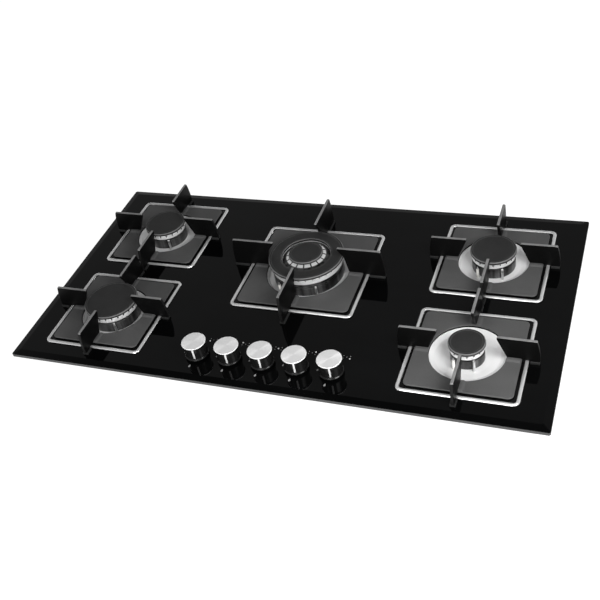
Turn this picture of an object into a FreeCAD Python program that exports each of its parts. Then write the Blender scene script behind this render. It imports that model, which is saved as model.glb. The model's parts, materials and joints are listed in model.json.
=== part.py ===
import FreeCAD, Part
import math
import os

from FreeCAD import Vector

# Built-in gas cooktop with five burners on a bevelled glass plate.
# Millimetres.  +X is to the user's right, +Y to the rear, +Z up.  The origin lies under the middle
# of the glass, on the underside of the base pan.

# ---------------------------------------------------------------- glass plate
glass_width = 900.0
glass_depth = 480.0
glass_thickness = 8.0
glass_corner = 2.0
bevel_width = 12.0
bevel_drop = 2.5
glass_hole_gap = 1.0
glass_knob_hole = 9.0

# ---------------------------------------------------------------- base pan and worktop seal
pan_height = 48.0
pan_sheet = 1.0
pan_inset_x = 32.0
pan_inset_y = 31.0
pan_lean = 20.0
pan_flange = 10.0
pan_corner = 14.0
clamp_hole_radius = 2.25
clamp_hole_spacing_x = 700.0
clamp_hole_spacing_y = 330.0
vent_count = 6
vent_pitch = 14.0
vent_length = 60.0
vent_width = 5.0
vent_row_x = 180.0
seal_width = 10.0
seal_thickness = 3.0
seal_inset = 5.0

# ---------------------------------------------------------------- where the burners and knobs stand
side_burner_inset = 140.0
side_rows_middle_y = -2.0
side_supports_gap = 5.0
centre_burner_y = 44.5
knob_row_inset = 54.0
knob_pitch = 57.7

# ---------------------------------------------------------------- drip trays
tray_sheet = 1.0
bead_width = 6.0
bead_height = 3.5
tray_corner = 10.0
side_tray_size = 184.0
centre_tray_size = 221.0
dish_depth = 7.0
dish_floor_margin = 8.0
side_dish_radius = 57.0
centre_dish_radius = 73.0
tray_fit = 0.3

# ---------------------------------------------------------------- pan supports
plate_gap = 4.5
plate_lift = 2.0
plate_sheet = 2.0
plate_corner = 8.0
hole_margin = 2.0
rib_width = 20.0
rib_crest = 12.0
rib_height = 2.0
rib_end_gap = 1.0
blade_thickness = 5.0
blade_nose = 4.0
side_blade_height = 44.5
side_blade_inner = 45.0
side_blade_past_tray = 11.5
centre_blade_height = 55.5
centre_blade_inner = 59.0
centre_blade_past_tray = 24.5
blade_bulge = 4.5
bulge_share = 0.45
bead_clearance = 1.5
ring_clearance = 3.0
foot_height = 3.0
foot_width = 9.0
foot_grip = 2.0
foot_gap = 2.0
foot_fit = 0.05

# ---------------------------------------------------------------- burners: base, crown, cap
neck_height = 3.5
neck_inset = 3.0
body_inset = 4.0
throat_radius = 9.0
mixer_height = 10.0
mixer_floor = 2.0
holder_size = 16.0
holder_height = 12.0
leg_size = 10.0
jet_across = 7.0
jet_height = 7.0
crown_height = 9.0
crown_wall = 6.0
slot_width = 2.2
slot_height = 5.5
cap_thickness = 5.0
cap_overhang = 2.0
lug_count = 3
lug_length = 6.0
lug_size = 2.0
lug_fit = 0.3

auxiliary_crown = 26.5
semi_rapid_crown = 36.0
rapid_crown = 45.0
auxiliary_top = 28.0
semi_rapid_top = 29.0
rapid_top = 29.0
auxiliary_slots = 16
semi_rapid_slots = 20
rapid_slots = 26

ring_crown = 62.0
ring_crown_height = 17.0
ring_inner_wall = 5.0
ring_floor = 2.0
ring_cap_outer = 66.0
ring_cap_inner = 42.5
ring_top = 36.0
ring_slots = 32
heart_outer = 40.5
heart_crown = 28.0
heart_drop = 5.0
heart_slot_depth = 3.0
heart_slots = 16
heart_top = 41.0
heart_cap = 30.0
heart_cap_thickness = 4.5

# ---------------------------------------------------------------- igniter and thermocouple
probe_gap = 2.0
igniter_radius = 2.4
igniter_tip_size = 1.6
igniter_height = 11.0
igniter_tip_height = 16.0
igniter_angle = -120.0
thermocouple_radius = 2.0
thermocouple_height = 15.0
thermocouple_angle = -60.0

# ---------------------------------------------------------------- taps and knobs
knob_radius = 18.5
knob_top = 31.0
knob_lift = 3.6
push_travel = 3.0
disc_radius = 20.0
disc_thickness = 2.0
pointer_width = 3.0
pointer_depth = 1.4
pointer_length = 20.0
pointer_proud = 0.4
pointer_fit = 0.05
pointer_angle = -74.0
spindle_radius = 3.0
spindle_flat = 1.0
spindle_fit = 0.05
spindle_in_knob = 14.0
plug_radius = 4.5
plug_height = 17.0
plug_fit = 0.05
plug_slot_width = 2.4
plug_slot_depth = 9.0
tongue_fit = 0.1
tap_width = 22.0
tap_depth = 16.0
tap_hang = 32.0
tap_height = 24.0
tap_floor = 4.0
tap_neck_size = 14.0
tap_neck_gap = 1.0
switch_width = 6.0
switch_depth = 13.0
switch_height = 15.0

# ---------------------------------------------------------------- gas ways
rail_size = 12.0
rail_overrun = 20.0
rail_wall = 2.0
pipe_radius = 3.0
pipe_clearance = 3.0
supply_radius = 5.0
supply_wall = 1.0
supply_from_end = 10.0
inlet_radius = 10.48
inlet_thread = 14.0
inlet_neck_radius = 9.5
inlet_neck_out = 8.0
inlet_block = 22.0
inlet_block_depth = 14.0
inlet_block_gap = 7.0
inlet_bore = 4.0
inlet_clearance = 0.5
bracket_sheet = 1.5
bracket_width = 24.0
bracket_foot = 12.0
bracket_x = 85.0

# ---------------------------------------------------------------- spark generator
generator_width = 70.0
generator_depth = 40.0
generator_height = 26.0
generator_x = -120.0
generator_inset_y = 90.0
tab_count = 5
tab_width = 6.3
tab_thickness = 0.8
tab_height = 7.0

# ---------------------------------------------------------------- levels worked out from the above
glass_bottom = pan_height
glass_top = pan_height + glass_thickness
tray_floor = glass_top + tray_sheet
dish_bottom = glass_top - dish_depth
dish_floor = dish_bottom + tray_sheet
plate_bottom = tray_floor + plate_lift
plate_top = plate_bottom + plate_sheet
mixer_low = dish_floor - mixer_height
holder_low = mixer_low - holder_height
knob_row_y = knob_row_inset - glass_depth / 2
knob_bottom = glass_top + knob_lift
knob_crest = glass_top + knob_top - disc_thickness
pointer_reach = knob_radius + pointer_proud
tap_bottom = pan_height - tap_hang
plug_low = tap_bottom + tap_floor
plug_high = plug_low + plug_height
spindle_low = plug_high - plug_slot_depth + push_travel + tongue_fit
spindle_high = knob_bottom + spindle_in_knob
tap_top = tap_bottom + tap_height
rail_front = knob_row_y + tap_depth / 2
rail_z = tap_bottom + rail_size / 2
pipe_z = tap_bottom + rail_size + pipe_clearance + pipe_radius
heart_low = glass_top + ring_top - cap_thickness - ring_crown_height + ring_floor

full_turn = 360.0
quarter = 90.0
over = 1.0
up = Vector(0, 0, 1)
rearward = Vector(0, 1, 0)


# ---------------------------------------------------------------- helpers
def rounded_rectangle(width, depth, radius, z, x=0.0, y=0.0):
    """A closed wire: a rectangle with rounded corners, centred on x, y at height z."""
    a, b = width / 2, depth / 2
    k = radius * (1 - math.sqrt(0.5))
    corners = []
    for sx, sy in ((1, -1), (1, 1), (-1, 1), (-1, -1)):
        ends = [
            Vector(x + sx * (a - radius), y + sy * b, z),
            Vector(x + sx * a, y + sy * (b - radius), z),
        ]
        if sx * sy > 0:
            ends.reverse()
        middle = Vector(x + sx * (a - k), y + sy * (b - k), z)
        corners.append((ends[0], middle, ends[1]))
    edges = []
    for here, onward in zip(corners, corners[1:] + corners[:1]):
        edges.append(Part.Arc(*here).toShape())
        edges.append(Part.makeLine(here[2], onward[0]))
    return Part.Wire(edges)


def clipped_rectangle(width, depth, clip, z):
    """A closed wire: a rectangle with its corners cut off, centred on the origin at height z."""
    a, b, c = width / 2, depth / 2, clip
    points = [(a - c, -b), (a, c - b), (a, b - c), (a - c, b)]
    points += [(-x, -y) for x, y in points]
    wire = [Vector(x, y, z) for x, y in points]
    return Part.makePolygon(wire + wire[:1])


def slab(width, depth, radius, bottom, top, x=0.0, y=0.0):
    """A flat block with rounded corners."""
    wire = rounded_rectangle(width, depth, radius, bottom, x, y)
    return Part.Face(wire).extrude(Vector(0, 0, top - bottom))


def turned(profile, x=0.0, y=0.0):
    """A solid of revolution from a closed outline of (radius, height) points."""
    points = [Vector(r, 0, z) for r, z in profile]
    face = Part.Face(Part.makePolygon(points + points[:1]))
    return face.revolve(Vector(0, 0, 0), up, full_turn).translated(Vector(x, y, 0))


def extruded(points, direction):
    """A prism from a closed outline of points."""
    return Part.Face(Part.makePolygon(points + points[:1])).extrude(direction)


def rod(radius, bottom, top, x=0.0, y=0.0):
    """An upright cylinder."""
    return Part.makeCylinder(radius, top - bottom, Vector(x, y, bottom))


def post(size, bottom, top, x, y):
    """An upright square bar."""
    half = size / 2
    return block(x - half, x + half, y - half, y + half, bottom, top)


def block(x_low, x_high, y_low, y_high, z_low, z_high):
    """A box between two corners."""
    return Part.makeBox(x_high - x_low, y_high - y_low, z_high - z_low, Vector(x_low, y_low, z_low))


def turned_about(solid, angle, x, y):
    """The solid turned by an angle about an upright axis."""
    return solid.rotated(Vector(x, y, 0), up, angle)


def save(name, solids):
    """Write one node.  A list of separate solids becomes one file."""
    shape = solids[0] if len(solids) == 1 else Part.makeCompound(solids)
    for solid in shape.Solids:
        if not solid.isValid() or solid.Volume <= 0:
            raise ValueError("bad solid in " + name)
    if len(shape.Solids) != len(solids):
        raise ValueError("wrong number of solids in " + name)
    shape.exportStep("parts/" + name + ".step")


# ---------------------------------------------------------------- burner sizes, one entry per burner
def side_burner(x, y, crown_radius, top, slots):
    """The sizes of one of the four outer burners."""
    return {
        "x": x,
        "y": y,
        "crown": crown_radius,
        "seat": glass_top + top - cap_thickness - crown_height,
        "cap": crown_radius + cap_overhang,
        "top": glass_top + top,
        "slots": slots,
        "tray": side_tray_size,
        "dish": side_dish_radius,
    }


right = glass_width / 2 - side_burner_inset
left = -right
row_reach = side_tray_size / 2 + side_blade_past_tray + blade_bulge + side_supports_gap / 2
front, rear = side_rows_middle_y - row_reach, side_rows_middle_y + row_reach
burners = {
    "rear_left": side_burner(left, rear, semi_rapid_crown, semi_rapid_top, semi_rapid_slots),
    "front_left": side_burner(left, front, rapid_crown, rapid_top, rapid_slots),
    "rear_right": side_burner(right, rear, semi_rapid_crown, semi_rapid_top, semi_rapid_slots),
    "front_right": side_burner(right, front, auxiliary_crown, auxiliary_top, auxiliary_slots),
}
centre = {
    "x": 0.0,
    "y": centre_burner_y,
    "crown": ring_crown,
    "seat": glass_top + ring_top - cap_thickness - ring_crown_height,
    "tray": centre_tray_size,
    "dish": centre_dish_radius,
}
every_burner = dict(burners, centre=centre)

knob_names = ["far_left", "left", "middle", "right", "far_right"]
knob_x = [(i - (len(knob_names) - 1) / 2) * knob_pitch for i in range(len(knob_names))]
served = ["front_left", "rear_left", "centre", "rear_right", "front_right"]


# ---------------------------------------------------------------- glass, pan, seal
def glass_plate():
    """The glass, bevelled on all four edges, with an opening for each burner and each knob."""
    land = glass_top - bevel_drop
    full = (glass_width, glass_depth, glass_corner)
    inner = (glass_width - 2 * bevel_width, glass_depth - 2 * bevel_width, glass_corner)
    lower = Part.Face(clipped_rectangle(*full, glass_bottom)).extrude(up * (land - glass_bottom))
    wires = [clipped_rectangle(*full, land), clipped_rectangle(*inner, glass_top)]
    plate = lower.fuse(Part.makeLoft(wires, True, True))
    holes = [
        rod(b["dish"] + tray_sheet + glass_hole_gap, glass_bottom, glass_top, b["x"], b["y"])
        for b in every_burner.values()
    ]
    holes += [rod(glass_knob_hole, glass_bottom, glass_top, x, knob_row_y) for x in knob_x]
    return plate.cut(holes).removeSplitter()


def pan_outline(height, shrink=0.0):
    """The outline of the pan's leaning wall at a height, drawn in by shrink."""
    lean = pan_lean * (1 - height / pan_height)
    width = glass_width - 2 * (pan_inset_x + lean + shrink)
    depth = glass_depth - 2 * (pan_inset_y + lean + shrink)
    return rounded_rectangle(width, depth, pan_corner - shrink, height)


def base_pan():
    """The pressed pan under the glass: leaning walls, a flange, vents, clamp holes, an inlet hole."""
    shell = Part.makeLoft([pan_outline(0), pan_outline(pan_height)], True, True)
    flange_low = pan_height - pan_sheet
    width = glass_width - 2 * (pan_inset_x - pan_flange)
    depth = glass_depth - 2 * (pan_inset_y - pan_flange)
    flange = slab(width, depth, pan_corner + pan_flange, flange_low, pan_height)
    hollow = [pan_outline(pan_sheet, pan_sheet), pan_outline(pan_height, pan_sheet)]
    cuts = [Part.makeLoft(hollow, True, True)]
    for sx in (-1, 1):
        for sy in (-1, 1):
            x, y = sx * clamp_hole_spacing_x / 2, sy * clamp_hole_spacing_y / 2
            cuts.append(rod(clamp_hole_radius, 0, pan_sheet, x, y))
        for i in range(vent_count):
            x = sx * vent_row_x - vent_length / 2
            y = (i - (vent_count - 1) / 2) * vent_pitch - vent_width / 2
            cuts.append(block(x, x + vent_length, y, y + vent_width, 0, pan_sheet))
    start = Vector(supply_x, inlet_wall - pan_lean, rail_z)
    cuts.append(Part.makeCylinder(inlet_neck_radius + inlet_clearance, 2 * pan_lean, start, rearward))
    return shell.fuse(flange).cut(cuts).removeSplitter()


def worktop_seal():
    """The foam strip under the rim of the glass."""
    x, y = glass_width / 2 - seal_inset, glass_depth / 2 - seal_inset
    u, v = x - seal_width, y - seal_width
    low = glass_bottom - seal_thickness
    return block(-x, x, -y, y, low, glass_bottom).cut(block(-u, u, -v, v, low, glass_bottom))


# ---------------------------------------------------------------- drip trays
def drip_tray(b):
    """Pressed steel tray: a flat square with a raised bead round it and a round dish in the middle."""
    size, x, y = b["tray"], b["x"], b["y"]
    inner = size - 2 * bead_width
    bead_top = glass_top + bead_height
    body = slab(size, size, tray_corner, glass_top, bead_top, x, y)
    hollow = slab(inner, inner, tray_corner - bead_width, tray_floor, bead_top, x, y)
    lip = b["dish"] + tray_sheet
    floor_radius = b["crown"] + dish_floor_margin
    bore = b["crown"] - body_inset + tray_fit
    profile = [
        (b["dish"], tray_floor),
        (floor_radius, dish_floor),
        (bore, dish_floor),
        (bore, dish_bottom),
        (floor_radius + tray_sheet, dish_bottom),
        (lip, glass_top),
        (lip, tray_floor),
    ]
    opening = rod(lip, glass_top, bead_top, x, y)
    return body.cut([hollow, opening]).fuse(turned(profile, x, y)).removeSplitter()


# ---------------------------------------------------------------- pan supports
class Support:
    """The sizes of one pan support, measured from the burner's axis and from the glass."""

    def __init__(self, b, inner, past_tray, height, knee):
        self.x, self.y = b["x"], b["y"]
        self.inner, self.height, self.knee = inner, height, knee
        self.outer = b["tray"] / 2 + past_tray
        self.hole = b["dish"] + hole_margin
        self.half = b["tray"] / 2 - bead_width - plate_gap
        self.foot_in = b["tray"] / 2 + foot_gap
        self.foot_out = self.outer + blade_bulge

    def four(self, solid):
        """The solid, built along +X, at each of the four sides."""
        return [turned_about(solid, quarter * i, self.x, self.y) for i in range(4)]


def blade(s):
    """One upright blade, pointing along +X: nose, straight top, bowed outer end, foot past the bead."""
    seat = plate_top + rib_height - glass_top
    passing = bead_height + bead_clearance

    def place(p):
        return Vector(p[0], 0, glass_top + p[1])

    bow = [(s.foot_out, foot_height), (s.foot_out, s.height * bulge_share), (s.outer, s.height)]
    rest = [(s.outer, s.height), (s.inner, s.height), (s.inner, s.height - blade_nose)] + s.knee
    rest += [(s.hole, seat), (s.half - rib_end_gap, seat), (s.half, passing), (s.foot_in, passing)]
    rest += [(s.foot_in, foot_height), (s.foot_out, foot_height)]
    edges = [Part.Arc(*[place(p) for p in bow]).toShape()]
    edges += [Part.makeLine(place(p), place(q)) for p, q in zip(rest, rest[1:])]
    solid = Part.Face(Part.Wire(edges)).extrude(Vector(0, blade_thickness, 0))
    return solid.translated(Vector(s.x, s.y - blade_thickness / 2, 0))


def rib(s):
    """The raised strip of the plate that a blade stands on."""
    wide, crest = rib_width / 2, rib_crest / 2
    high = plate_top + rib_height
    section = [(-wide, plate_top), (wide, plate_top), (crest, high), (-crest, high)]
    start = s.hole - rib_width
    points = [Vector(s.x + start, s.y + y, z) for y, z in section]
    return extruded(points, Vector(s.half - rib_end_gap - start, 0, 0))


def support_plate(s):
    """The plate round the burner, with the four raised strips pressed in it."""
    size = 2 * s.half
    plate = slab(size, size, plate_corner, plate_bottom, plate_top, s.x, s.y).fuse(s.four(rib(s)))
    return plate.cut(rod(s.hole, plate_bottom, plate_top + rib_height, s.x, s.y)).removeSplitter()


def support_feet(s):
    """Four rubber shoes, one gripping the outer end of each blade."""
    wide = foot_width / 2
    slot = blade_thickness / 2 + foot_fit
    sole = glass_top + foot_height
    end = s.foot_out - foot_fit
    shoe = block(s.foot_in, end, -wide, wide, glass_top, sole + foot_grip)
    shoe = shoe.cut(block(s.foot_in, end, -slot, slot, sole, sole + foot_grip))
    return s.four(shoe.translated(Vector(s.x, s.y, 0)))


# ---------------------------------------------------------------- burners
def burner_base(b):
    """The cast cup: a shoulder on the dish, a neck for the crown, a jet holder and a leg below."""
    body = b["crown"] - body_inset
    neck = b["crown"] - neck_inset
    rim = b["seat"] - neck_height
    cup = turned(
        [
            (0, mixer_low),
            (body, mixer_low),
            (body, dish_floor),
            (b["crown"], dish_floor),
            (b["crown"], rim),
            (neck, rim),
            (neck, b["seat"]),
            (throat_radius, b["seat"]),
            (throat_radius, mixer_low + mixer_floor),
            (0, mixer_low + mixer_floor),
        ],
        b["x"],
        b["y"],
    )
    holder = post(holder_size, holder_low, mixer_low, b["x"], b["y"])
    leg = post(leg_size, pan_sheet, holder_low, b["x"], b["y"])
    return cup.fuse([holder, leg]).removeSplitter()


def gas_jet(b):
    """The hexagonal brass jet at the bottom of the throat."""
    reach = jet_across / math.sqrt(3)
    low = mixer_low + mixer_floor
    points = []
    for i in range(6):
        angle = math.radians(i * 60)
        points.append(Vector(b["x"] + reach * math.cos(angle), b["y"] + reach * math.sin(angle), low))
    return extruded(points, up * jet_height)


def cut_slots(ring, b, start, end, low, high, count):
    """Radial slots, evenly spaced, open at the top."""
    slots = []
    for i in range(count):
        slot = block(start, end, -slot_width / 2, slot_width / 2, low, high + over)
        slot = slot.translated(Vector(b["x"], b["y"], 0))
        slots.append(turned_about(slot, (i + 0.5) * full_turn / count, b["x"], b["y"]))
    return ring.cut(slots)


def side_crown(b):
    """The slotted ring that the flame comes out of."""
    low, high = b["seat"], b["top"] - cap_thickness
    inside = b["crown"] - crown_wall
    ring = turned([(inside, low), (b["crown"], low), (b["crown"], high), (inside, high)], b["x"], b["y"])
    return cut_slots(ring, b, inside - over, b["crown"] + over, high - slot_height, high, b["slots"])


def lidded(b, radius, low, high, inside):
    """A flat round cap with three lugs that centre it inside a crown."""
    start = inside - lug_fit - lug_size
    lug = block(start, start + lug_size, -lug_length / 2, lug_length / 2, low - lug_size, low)
    lug = lug.translated(Vector(b["x"], b["y"], 0))
    lugs = [turned_about(lug, i * full_turn / lug_count, b["x"], b["y"]) for i in range(lug_count)]
    return rod(radius, low, high, b["x"], b["y"]).fuse(lugs).removeSplitter()


def side_cap(b):
    """The enamelled cap of an outer burner."""
    return lidded(b, b["cap"], b["top"] - cap_thickness, b["top"], b["crown"] - crown_wall)


def ring_crown_body():
    """The large outer crown of the centre burner: two walls on a floor, slotted at the top outside."""
    low, high = centre["seat"], glass_top + ring_top - cap_thickness
    outer_wall = ring_crown - crown_wall
    inner_wall = ring_cap_inner + ring_inner_wall
    drum = turned(
        [
            (throat_radius, low),
            (ring_crown, low),
            (ring_crown, high),
            (outer_wall, high),
            (outer_wall, heart_low),
            (inner_wall, heart_low),
            (inner_wall, high),
            (ring_cap_inner, high),
            (ring_cap_inner, heart_low),
            (throat_radius, heart_low),
        ],
        centre["x"],
        centre["y"],
    )
    return cut_slots(
        drum, centre, outer_wall - over, ring_crown + over, high - slot_height, high, ring_slots
    )


def ring_cap():
    """The flat ring-shaped cap of the centre burner, with three lugs below."""
    low, high = glass_top + ring_top - cap_thickness, glass_top + ring_top
    whole = lidded(centre, ring_cap_outer, low, high, ring_crown - crown_wall)
    return whole.cut(rod(ring_cap_inner, low, high, centre["x"], centre["y"]))


def heart_crown_body():
    """The inner crown of the centre burner: a sloping slotted ring inside the ring cap."""
    high = glass_top + heart_top - heart_cap_thickness
    bore = heart_crown - crown_wall
    ring = turned(
        [
            (bore, heart_low),
            (heart_outer, heart_low),
            (heart_outer, high - heart_drop),
            (heart_crown, high),
            (bore, high),
        ],
        centre["x"],
        centre["y"],
    )
    low = high - heart_slot_depth
    return cut_slots(ring, centre, bore - over, heart_outer + over, low, high, heart_slots)


def heart_cap_body():
    """The cap on the inner crown."""
    high = glass_top + heart_top
    return lidded(centre, heart_cap, high - heart_cap_thickness, high, heart_crown - crown_wall)


def probe_place(b, angle):
    """Where a probe stands on the dish, beside the crown."""
    reach = b["crown"] + probe_gap + igniter_radius
    turn = math.radians(angle)
    return (b["x"] + reach * math.cos(turn), b["y"] + reach * math.sin(turn))


def igniter(b):
    """The spark electrode: a ceramic stem with a metal tip."""
    x, y = probe_place(b, igniter_angle)
    shoulder = glass_top + igniter_height
    stem = rod(igniter_radius, dish_floor, shoulder, x, y)
    return stem.fuse(post(igniter_tip_size, shoulder, glass_top + igniter_tip_height, x, y))


def thermocouple(b):
    """The flame sensor."""
    return rod(
        thermocouple_radius, dish_floor, glass_top + thermocouple_height, *probe_place(b, thermocouple_angle)
    )


# ---------------------------------------------------------------- taps and knobs
def tap_block(x):
    """The square body of a tap."""
    half, y = tap_width / 2, knob_row_y
    return block(x - half, x + half, y - tap_depth / 2, y + tap_depth / 2, tap_bottom, tap_top)


def tap(x):
    """Valve body with a bore for the plug and a neck for the spindle."""
    y = knob_row_y
    neck = post(tap_neck_size, tap_top, glass_bottom - tap_neck_gap, x, y)
    seat = rod(plug_radius + plug_fit, plug_low, plug_high + plug_fit, x, y)
    bore = rod(spindle_radius + spindle_fit, plug_high, glass_bottom, x, y)
    return tap_block(x).fuse(neck).cut([seat, bore]).removeSplitter()


def ignition_switch(x, b):
    """The microswitch clipped to the side of a tap that its gas pipe doesn't leave through."""
    side = -1 if b["x"] > x else 1
    near, far = tap_width / 2, tap_width / 2 + switch_width
    ends = sorted([x + side * near, x + side * far])
    half = switch_depth / 2
    return block(*ends, knob_row_y - half, knob_row_y + half, tap_top - switch_height, tap_top)


def tap_plug(x):
    """The plug that turns in the tap, slotted for the spindle's tongue."""
    y = knob_row_y
    reach = spindle_radius + tongue_fit
    half = plug_slot_width / 2
    slot = block(x - reach, x + reach, y - half, y + half, plug_high - plug_slot_depth, plug_high)
    return rod(plug_radius, plug_low, plug_high, x, y).cut(slot)


def spindle(x):
    """A round shaft with a tongue below and a flat above, where the knob grips it."""
    y = knob_row_y
    reach = 2 * spindle_radius
    thin = plug_slot_width / 2 - tongue_fit
    tongue_top = plug_high + push_travel + tongue_fit
    flat = y + spindle_radius - spindle_flat
    cuts = [
        block(x - reach, x + reach, y + thin, y + reach, spindle_low, tongue_top),
        block(x - reach, x + reach, y - reach, y - thin, spindle_low, tongue_top),
        block(x - reach, x + reach, flat, y + reach, knob_bottom, spindle_high),
    ]
    return rod(spindle_radius, spindle_low, spindle_high, x, y).cut(cuts)


def pointer_block(x, fit):
    """The pointer, grown by fit, as it lies in the side of the knob."""
    y = knob_row_y
    half = pointer_width / 2 + fit
    inner = x + pointer_reach - pointer_depth - fit
    low = knob_crest - pointer_length - fit
    pointer = block(inner, x + pointer_reach + fit, y - half, y + half, low, knob_crest)
    return turned_about(pointer, pointer_angle, x, y)


def knob(x):
    """The moulded knob, with a D-shaped socket and a groove for the pointer."""
    y = knob_row_y
    reach = 2 * spindle_radius
    flat = y + spindle_radius - spindle_flat
    socket = rod(spindle_radius, knob_bottom, spindle_high, x, y)
    socket = socket.cut(block(x - reach, x + reach, flat, y + reach, knob_bottom, spindle_high))
    body = rod(knob_radius, knob_bottom, knob_crest, x, y)
    return body.cut([socket, pointer_block(x, pointer_fit)]).removeSplitter()


def knob_disc(x):
    """The metal disc on the knob, with the pointer that runs down the knob's side."""
    disc = rod(disc_radius, knob_crest, knob_crest + disc_thickness, x, knob_row_y)
    return disc.fuse(pointer_block(x, 0)).removeSplitter()


# ---------------------------------------------------------------- gas ways
rail_end = knob_x[-1] + tap_width / 2 + rail_overrun
supply_x = rail_end - supply_from_end
inlet_wall = glass_depth / 2 - pan_inset_y - pan_lean * (1 - rail_z / pan_height)
inlet_back = inlet_wall - inlet_block_gap
inlet_front = inlet_back - inlet_block_depth


def along_y(radius, low, high):
    """A round bar on the supply's axis."""
    return Part.makeCylinder(radius, high - low, Vector(supply_x, low, rail_z), rearward)


def gas_rail():
    """The closed square tube that feeds the five taps, with a port at the back for the supply."""
    ends = knob_x[0] - tap_width / 2 - rail_overrun, rail_end
    back = rail_front + rail_size
    wall = rail_wall
    tube = block(*ends, rail_front, back, tap_bottom, tap_bottom + rail_size)
    hollow = block(
        ends[0] + wall,
        ends[1] - wall,
        rail_front + wall,
        back - wall,
        tap_bottom + wall,
        tap_bottom + rail_size - wall,
    )
    port = along_y(supply_radius - supply_wall, back - wall, back)
    return tube.cut([hollow, port])


def burner_pipe(x, b):
    """A straight pipe from a tap, over the gas rail, to the burner's jet holder."""
    start = Vector(x, knob_row_y, pipe_z)
    run = Vector(b["x"], b["y"], pipe_z) - start
    whole = Part.makeCylinder(pipe_radius, run.Length, start, run)
    return whole.cut([tap_block(x), post(holder_size, holder_low, mixer_low, b["x"], b["y"])])


def supply_pipe():
    """From the back of the gas rail straight to the inlet at the rear."""
    return along_y(supply_radius, rail_front + rail_size, inlet_front)


def gas_inlet():
    """The union: a block inside the pan, a neck through its rear wall and a threaded end outside."""
    half = inlet_block / 2
    shoulder = inlet_wall + inlet_neck_out
    end = shoulder + inlet_thread
    body = block(supply_x - half, supply_x + half, inlet_front, inlet_back, rail_z - half, rail_z + half)
    outer = [along_y(inlet_neck_radius, inlet_back, shoulder), along_y(inlet_radius, shoulder, end)]
    return body.fuse(outer).cut(along_y(inlet_bore, inlet_front, end)).removeSplitter()


def rail_bracket(x):
    """A bent strip that carries the gas rail on the floor of the pan."""
    s = bracket_sheet
    y = rail_front
    end = y + rail_size
    section = [
        (end + bracket_foot, pan_sheet),
        (end + bracket_foot, pan_sheet + s),
        (end + s, pan_sheet + s),
        (end + s, tap_bottom),
        (y, tap_bottom),
        (y, tap_bottom - s),
        (end, tap_bottom - s),
        (end, pan_sheet),
    ]
    points = [Vector(x - bracket_width / 2, p, z) for p, z in section]
    return extruded(points, Vector(bracket_width, 0, 0))


def spark_generator():
    """A moulded box on the floor of the pan, with a row of terminal tabs."""
    x, y, top = generator_x, glass_depth / 2 - generator_inset_y, pan_sheet + generator_height
    a, b = generator_width / 2, generator_depth / 2
    body = block(x - a, x + a, y - b, y + b, pan_sheet, top)
    tabs = []
    for i in range(tab_count):
        middle = x + (i - (tab_count - 1) / 2) * generator_width / (tab_count + 1)
        u, v = tab_width / 2, tab_thickness / 2
        tabs.append(block(middle - v, middle + v, y - u, y + u, top, top + tab_height))
    return body.fuse(tabs).removeSplitter()


# ---------------------------------------------------------------- put together
os.makedirs("parts", exist_ok=True)

save("glass_top", [glass_plate()])
save("base_pan", [base_pan()])
save("worktop_seal", [worktop_seal()])
save("drip_trays", [drip_tray(b) for b in every_burner.values()])

side_knee = []
centre_knee = [(ring_cap_outer + ring_clearance, ring_top + ring_clearance)]
for name, b in every_burner.items():
    if b is centre:
        sizes = Support(b, centre_blade_inner, centre_blade_past_tray, centre_blade_height, centre_knee)
    else:
        sizes = Support(b, side_blade_inner, side_blade_past_tray, side_blade_height, side_knee)
    save("support_plate_" + name, [support_plate(sizes)])
    save("support_blades_" + name, sizes.four(blade(sizes)))
    save("support_feet_" + name, support_feet(sizes))

save("burner_bases", [burner_base(b) for b in every_burner.values()])
save("gas_jets", [gas_jet(b) for b in every_burner.values()])
save("side_burner_crowns", [side_crown(b) for b in burners.values()])
for name, b in burners.items():
    save("burner_cap_" + name, [side_cap(b)])
save("centre_outer_crown", [ring_crown_body()])
save("centre_ring_cap", [ring_cap()])
save("centre_inner_crown", [heart_crown_body()])
save("centre_inner_cap", [heart_cap_body()])
save("igniters", [igniter(b) for b in every_burner.values()])
save("thermocouples", [thermocouple(b) for b in every_burner.values()])

for name, x in zip(knob_names, knob_x):
    save("knob_" + name, [knob(x)])
    save("knob_disc_" + name, [knob_disc(x)])
    save("spindle_" + name, [spindle(x)])
    save("tap_plug_" + name, [tap_plug(x)])
save("tap_bodies", [tap(x) for x in knob_x])
save("ignition_switches", [ignition_switch(x, every_burner[name]) for x, name in zip(knob_x, served)])

save("gas_rail", [gas_rail()])
save("rail_brackets", [rail_bracket(-bracket_x), rail_bracket(bracket_x)])
save("burner_pipes", [burner_pipe(x, every_burner[name]) for x, name in zip(knob_x, served)])
save("supply_pipe", [supply_pipe()])
save("gas_inlet", [gas_inlet()])
save("spark_generator", [spark_generator()])
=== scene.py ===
import json
import math

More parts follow.
